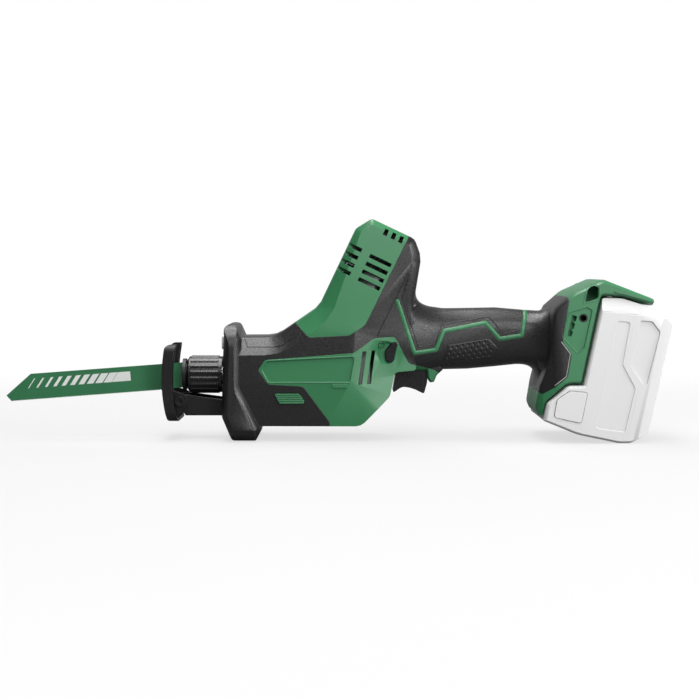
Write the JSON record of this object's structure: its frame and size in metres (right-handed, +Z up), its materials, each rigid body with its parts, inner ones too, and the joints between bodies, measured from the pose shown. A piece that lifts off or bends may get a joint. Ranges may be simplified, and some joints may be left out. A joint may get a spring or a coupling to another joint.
{
  "type": "reciprocating saw",
  "caption": "Compact cordless reciprocating saw with inclined motor tower, straight rear handle, pivoting shoe, twist blade clamp, trigger and slide-on battery pack.",
  "frame": {"origin": "centre of the bounding box, on the surface that the tool stands on", "axes": "+X from blade tip to battery, +Y to the operator's right, +Z up"},
  "size_m": [0.4771, 0.0782, 0.1579],
  "materials": {
    "green_plastic": "satin moulded",
    "black_rubber": "grained elastomer",
    "black_plastic": "satin moulded",
    "blade_paint": "satin paint",
    "black_steel": "black oxide",
    "bright_steel": "ground",
    "gear_steel": "oiled",
    "cast_alloy": "die cast",
    "bronze": "sintered",
    "brass": "plain",
    "pale_plastic": "satin moulded",
    "grey_plastic": "satin moulded",
    "cell_can": "sleeved",
    "circuit_board": "coated",
    "clear_lens": "clear"
  },
  "bodies": {
    "housing": {"housing_left": "green_plastic", "housing_right": "green_plastic", "grip_left": "black_rubber", "grip_right": "black_rubber", "nose_cover": "black_rubber", "led_lens": "clear_lens", "housing_screws": "black_steel", "gear_case": "cast_alloy", "gear_cover": "cast_alloy", "gear_cover_screws": "bright_steel", "front_bush": "bronze", "rear_bush": "bronze", "dust_seal": "black_rubber", "spindle_bearing": "bright_steel", "motor_bearing_front": "bright_steel", "motor_bearing_rear": "bright_steel", "stator_core": "gear_steel", "stator_windings": "brass", "bracket_guide": "cast_alloy", "switch_body": "black_plastic", "control_board": "circuit_board", "terminal_block": "black_plastic", "terminal_blades": "brass", "hook_insert_left": "black_steel", "hook_insert_right": "black_steel"},
    "rotor": {"motor_shaft": "bright_steel", "rotor_core": "gear_steel", "cooling_fan": "black_plastic", "drive_pinion": "gear_steel"},
    "crank": {"crank_gear": "gear_steel", "crank_spindle": "bright_steel", "crank_pin": "bright_steel"},
    "plunger_rod": {"plunger": "bright_steel", "clamp_body": "black_steel", "clamp_ring": "black_steel"},
    "sleeve": {"clamp_sleeve": "black_plastic"},
    "blade": {"saw_blade": "blade_paint"},
    "shoe_slider": {"shoe_bracket": "black_steel", "shoe_pin": "black_steel"},
    "shoe": {"shoe_plate": "black_steel"},
    "shoe_release": {"shoe_button": "green_plastic"},
    "trigger_lever": {"trigger": "black_plastic"},
    "lock_bolt": {"lock_button": "black_plastic"},
    "battery": {"battery_case": "pale_plastic", "battery_cover": "pale_plastic", "battery_deck": "grey_plastic", "battery_cells": "cell_can"},
    "latch_l": {"latch_left": "pale_plastic"},
    "latch_r": {"latch_right": "pale_plastic"}
  },
  "joints": [
    {"name": "plunger_stroke", "type": "slide", "parent": "housing", "child": "plunger_rod", "axis": [1, 0, 0], "range_m": [-0.004, 0.016]},
    {"name": "sleeve_twist", "type": "hinge", "parent": "plunger_rod", "child": "sleeve", "pos_m": [-0.092, 0, 0.046], "axis": [1, 0, 0], "range_deg": [0, 80], "stiffness_Nm_per_rad": 0.1},
    {"name": "blade_draw", "type": "slide", "parent": "plunger_rod", "child": "blade", "axis": [-0.9972, 0, -0.075], "range_m": [0, 0.02]},
    {"name": "shoe_extend", "type": "slide", "parent": "housing", "child": "shoe_slider", "axis": [-1, 0, 0], "range_m": [0, 0.02]},
    {"name": "shoe_tilt", "type": "hinge", "parent": "shoe_slider", "child": "shoe", "pos_m": [-0.1097, 0, 0.0277], "axis": [0, -1, 0], "range_deg": [-6, 25]},
    {"name": "shoe_press", "type": "slide", "parent": "housing", "child": "shoe_release", "axis": [0, 1, 0], "range_m": [0, 0.003], "stiffness_N_per_m": 400},
    {"name": "trigger_pull", "type": "slide", "parent": "housing", "child": "trigger_lever", "axis": [0, 0, 1], "range_m": [0, 0.006], "stiffness_N_per_m": 500},
    {"name": "lock_push", "type": "slide", "parent": "housing", "child": "lock_bolt", "axis": [0, 1, 0], "range_m": [0, 0.0024]},
    {"name": "rotor_spin", "type": "hinge", "parent": "housing", "child": "rotor", "pos_m": [-0.005, 0, 0.046], "axis": [0.4321, 0, 0.9018], "continuous": true},
    {"name": "crank_spin", "type": "hinge", "parent": "housing", "child": "crank", "pos_m": [-0.005, 0, 0.046], "axis": [0, 1, 0], "continuous": true},
    {"name": "battery_slide", "type": "slide", "parent": "housing", "child": "battery", "axis": [-0.2028, 0, -0.9792], "range_m": [0, 0.05]},
    {"name": "latch_press_left", "type": "slide", "parent": "battery", "child": "latch_l", "axis": [0, 1, 0], "range_m": [0, 0.0024], "stiffness_N_per_m": 800},
    {"name": "latch_press_right", "type": "slide", "parent": "battery", "child": "latch_r", "axis": [0, -1, 0], "range_m": [0, 0.0024], "stiffness_N_per_m": 800}
  ],
  "couplings": [
    {"joint": "crank_spin", "follows": "rotor_spin", "ratio": 0.25}
  ]
}
